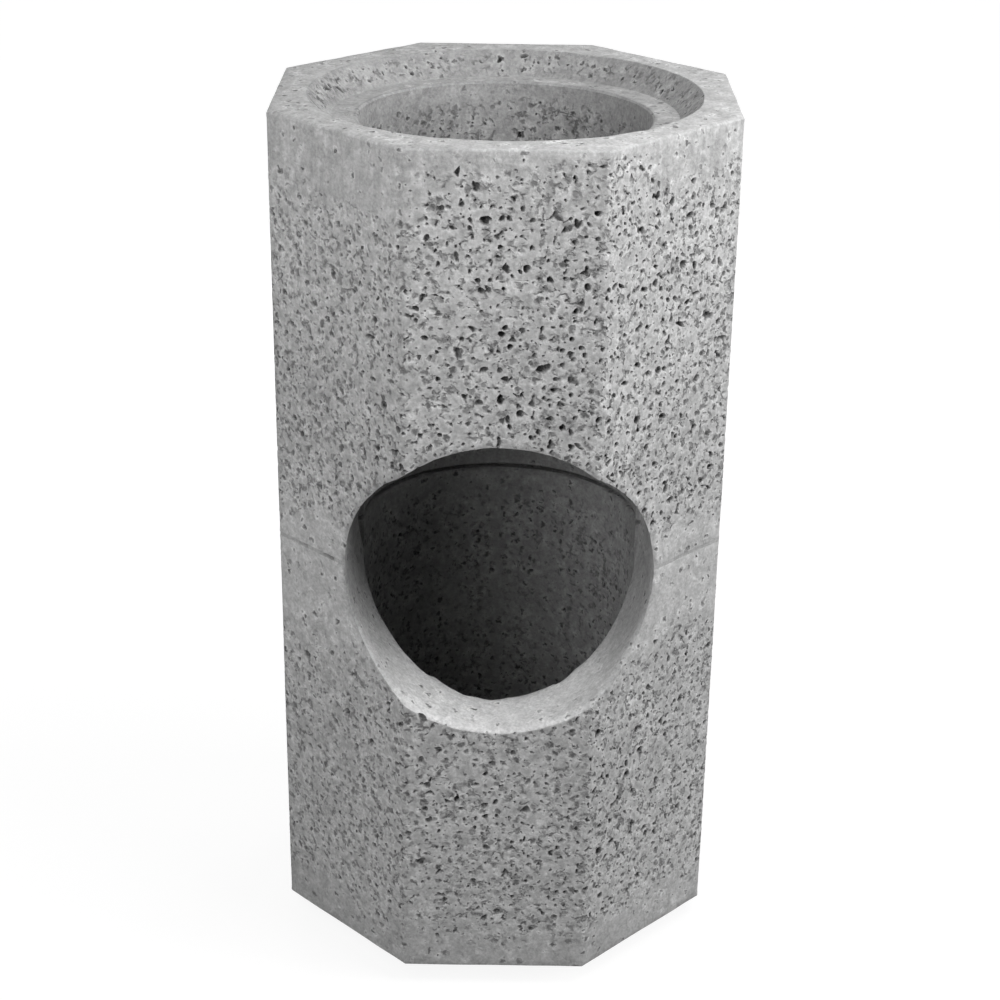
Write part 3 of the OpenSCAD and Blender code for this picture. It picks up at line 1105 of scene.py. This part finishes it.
    # Painted shade in the modelled pits, darker where a pit is deeper
    tone = g.product(tone, g.math("SUBTRACT", 1, g.product(pit, PIT_SHADE)))
    height = g.math("SUBTRACT", g.product(g.noise(place, 420, 3, 0.6), 0.45), hollow)
    return g.finish(tone, 0.94, 0.15, height, 0.8, 0.0012)


def mortar_material():
    """Fine jointing mortar, struck flush and of the blocks' grey."""
    g = Graph(bpy.data.materials.new("bed_mortar"))
    place = g.place()
    cloud = g.remap(g.noise(place, 60, 3), 0.3, 0.7, 0.94, 1.06)
    tone = g.product(MORTAR_TONE, cloud, g.fine_grain(place))
    return g.finish(tone, 0.95, 0.12, g.noise(place, 600, 3, 0.6), 0.5, 0.0006)


# Making the pieces

concrete = concrete_material()
mortar = mortar_material()
plug = mesh_object("inlet_plug", inlet_plug())
for node, material in (("lower_liner", concrete), ("upper_liner", concrete), ("bed_mortar", mortar)):
    skin = build_bed() if node == "bed_mortar" else build_block(node)
    piece = mesh_object(node + "_look", skin)
    cut(piece, plug)
    finish_mesh(piece, material)
    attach(piece, "root")
    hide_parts(node)
bpy.data.objects.remove(plug)


# Floor, light and camera

FLOOR_HALF = 6.0
FLOOR_GREY = 0.3
SHADOW_SHARE = 0.17
SHADOW_GLOW = 0.125
SHADOW_REACH = 2.2


def floor_material():
    """White to the camera but for the part's soft shadow, and mid grey to the light that falls on it.

    Near the part some of the white is lamp light, which the part can shade, and the glow makes up the rest.
    """
    g = Graph(bpy.data.materials.new("floor"))
    grey = (FLOOR_GREY, FLOOR_GREY, FLOOR_GREY, 1)
    g.fill(g.shader, {"Base Color": grey, "Roughness": 1.0, "Specular IOR Level": 0.0})
    shaded = g.add("ShaderNodeBsdfDiffuse", (SHADOW_SHARE, SHADOW_SHARE, SHADOW_SHARE, 1))
    distance = g.add("ShaderNodeVectorMath", g.place(), operation="LENGTH").outputs["Value"]
    near = g.math("MAXIMUM", 0, g.math("MULTIPLY_ADD", distance, -1 / SHADOW_REACH, 1))
    glow = g.add("ShaderNodeEmission")
    g.fill(glow, {"Strength": g.math("MULTIPLY_ADD", g.math("POWER", near, 1.5), -SHADOW_GLOW, 1)})
    white = g.add("ShaderNodeAddShader", shaded.outputs[0], glow.outputs[0])
    g.fill(g.nodes["Material Output"], {"Surface": g.mix(g.seen_directly(), g.shader, white)})
    return g.owner


floor_mesh = bpy.data.meshes.new("floor")
floor_corners = [(x * FLOOR_HALF, y * FLOOR_HALF, 0) for x, y in ((-1, -1), (1, -1), (1, 1), (-1, 1))]
floor_mesh.from_pydata(floor_corners, [], [(0, 1, 2, 3)])
floor_mesh.materials.append(floor_material())
floor = bpy.data.objects.new("floor", floor_mesh)
bpy.context.scene.collection.objects.link(floor)

sky = Graph(bpy.data.worlds.new("studio"))
bpy.context.scene.world = sky.owner
sky.fill(sky.shader, {"Strength": 0.0})
white_sky = sky.add("ShaderNodeBackground", (1, 1, 1, 1))
sky.fill(sky.nodes["World Output"], {"Surface": sky.mix(sky.seen_directly(), sky.shader, white_sky)})

LIGHT_AIM = Vector((0.0, 0.0, 0.36))


def area_light(name, turn, rise, distance, size, power):
    """A square lamp aimed at the part; turn and rise are degrees, to the right of the camera and up."""
    light = bpy.data.lights.new(name, "AREA")
    light.size = size
    light.energy = power
    turn, rise = math.radians(turn), math.radians(rise)
    toward = Vector((math.sin(turn) * math.cos(rise), -math.cos(turn) * math.cos(rise), math.sin(rise)))
    obj = bpy.data.objects.new(name, light)
    obj.location = LIGHT_AIM + distance * toward
    obj.rotation_euler = (-toward).to_track_quat("-Z", "Y").to_euler()
    bpy.context.scene.collection.objects.link(obj)
    return obj


area_light("right_side", 80, 15, 1.7, 0.9, 17.0)
area_light("right_high", 55, 50, 0.9, 0.4, 3.7)
area_light("left_low", -30, 5, 1.7, 0.9, 6.3)
area_light("left_front", -30, 30, 1.7, 0.9, 8.0)
area_light("left_high", -40, 50, 0.9, 0.4, 1.3)
area_light("back_high", 150, 50, 1.2, 0.6, 3.3)
area_light("back_low", 190, 10, 1.7, 0.9, 9.0)

# Camera fitted to the corners of the block in the photograph
CAMERA_PLACE = (0.0, -1.4039, 0.9428)
CAMERA_DOWN = math.radians(24.0345)
CAMERA_ROLL = math.radians(0.8066)
CAMERA_LENS = 75.40
camera_data = bpy.data.cameras.new("camera")
camera_data.lens = CAMERA_LENS
camera_data.sensor_width = 36.0
camera = bpy.data.objects.new("camera", camera_data)
camera.matrix_world = (Matrix.Translation(CAMERA_PLACE)
                       @ Matrix.Rotation(math.pi / 2 - CAMERA_DOWN, 4, "X")
                       @ Matrix.Rotation(CAMERA_ROLL, 4, "Z"))
bpy.context.scene.collection.objects.link(camera)
bpy.context.scene.camera = camera
bpy.context.scene.view_settings.view_transform = "Standard"
